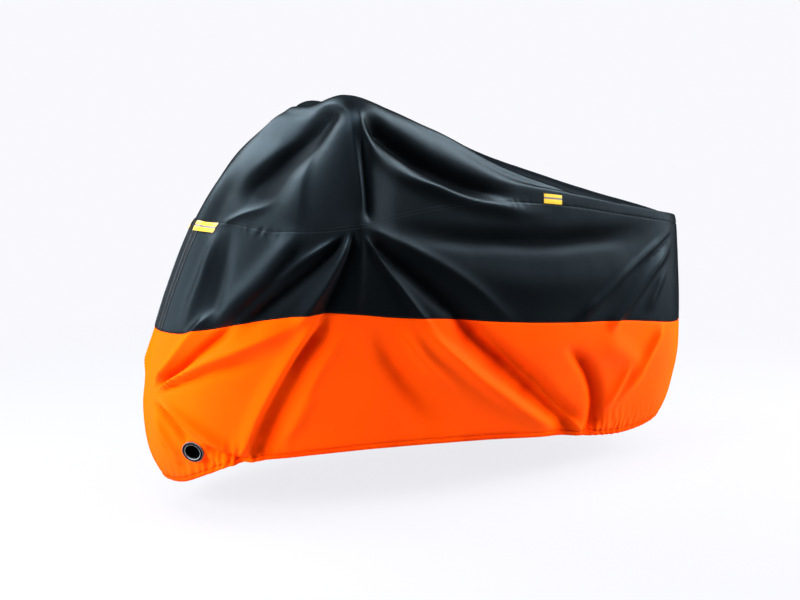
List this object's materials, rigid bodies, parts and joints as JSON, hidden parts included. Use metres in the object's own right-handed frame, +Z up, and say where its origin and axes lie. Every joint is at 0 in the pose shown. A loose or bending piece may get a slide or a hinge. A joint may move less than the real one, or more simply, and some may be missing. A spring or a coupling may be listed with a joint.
{
  "type": "motorcycle cover",
  "caption": "Fitted motorcycle cover in two-tone coated cloth, black above and orange below, draped in folds, with an elastic hem, reflective tags and lock eyelets.",
  "frame": {"origin": "on the underside of the top, on the centre line between the two high points over the handlebars", "axes": "+X from the front to the rear, +Y to the right side, +Z up; the pictured left side faces -Y"},
  "size_m": [1.9817, 0.7941, 1.1819],
  "materials": {
    "black_cloth": "black coated polyester, smooth, with a soft blue-grey sheen",
    "orange_cloth": "orange coated polyester, smooth, with a soft sheen",
    "binding_tape": "black sewn-on tape with stitching along both edges",
    "reflective_tape": "yellow tape with a silver-grey reflective centre band",
    "eyelet_ring": "glossy black ring with a bright edge"
  },
  "bodies": {
    "root": {"roof_panel": "black_cloth", "front_binding": "binding_tape", "side_panel_left": "black_cloth", "skirt_left": "orange_cloth", "nose_skirt_left": "orange_cloth", "eyelet_left": "eyelet_ring", "tag_front_left": "reflective_tape", "tag_rear_left": "reflective_tape", "side_panel_right": "black_cloth", "skirt_right": "orange_cloth", "nose_skirt_right": "orange_cloth", "eyelet_right": "eyelet_ring", "tag_front_right": "reflective_tape", "tag_rear_right": "reflective_tape"}
  },
  "joints": []
}
